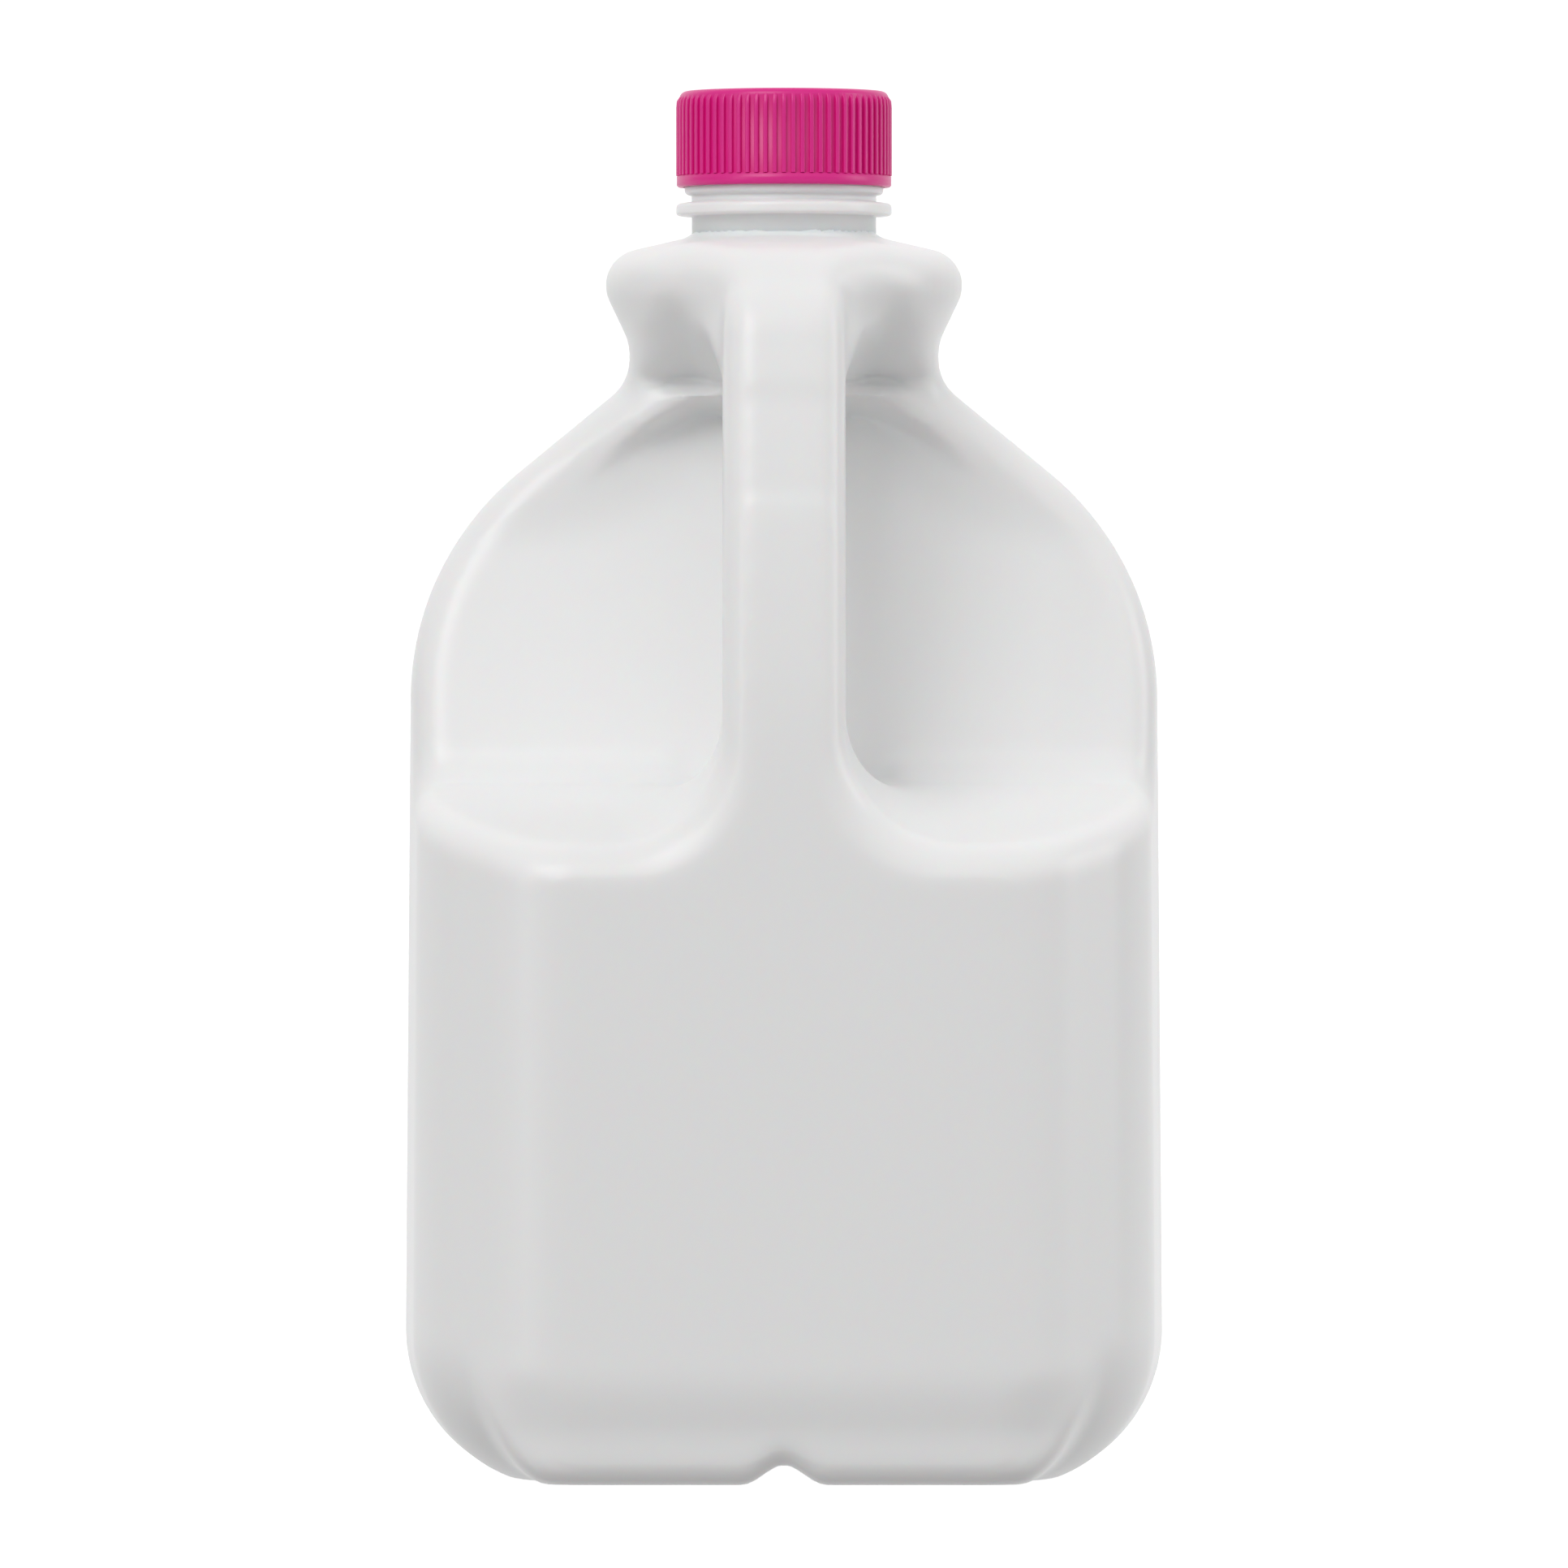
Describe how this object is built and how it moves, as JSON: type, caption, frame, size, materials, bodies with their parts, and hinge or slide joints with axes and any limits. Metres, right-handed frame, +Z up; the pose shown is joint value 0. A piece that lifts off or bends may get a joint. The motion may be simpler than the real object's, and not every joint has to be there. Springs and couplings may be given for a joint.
{
  "type": "milk jug",
  "caption": "Shut almond milk jug with a full-height handle over a hand recess, a rolled collar below the neck and a ribbed screw cap.",
  "frame": {"origin": "middle of the base on the ground, under the middle of the object", "axes": "+Z up through the neck, +Y to the front away from the handle, +X across to the right as seen from the handle side"},
  "size_m": [0.1454, 0.1197, 0.2661],
  "materials": {
    "jug_plastic": "satin white blow-moulded plastic",
    "cap_plastic": "glossy magenta moulded plastic"
  },
  "bodies": {
    "root": {"jug": "jug_plastic", "cap": "cap_plastic"}
  },
  "joints": []
}
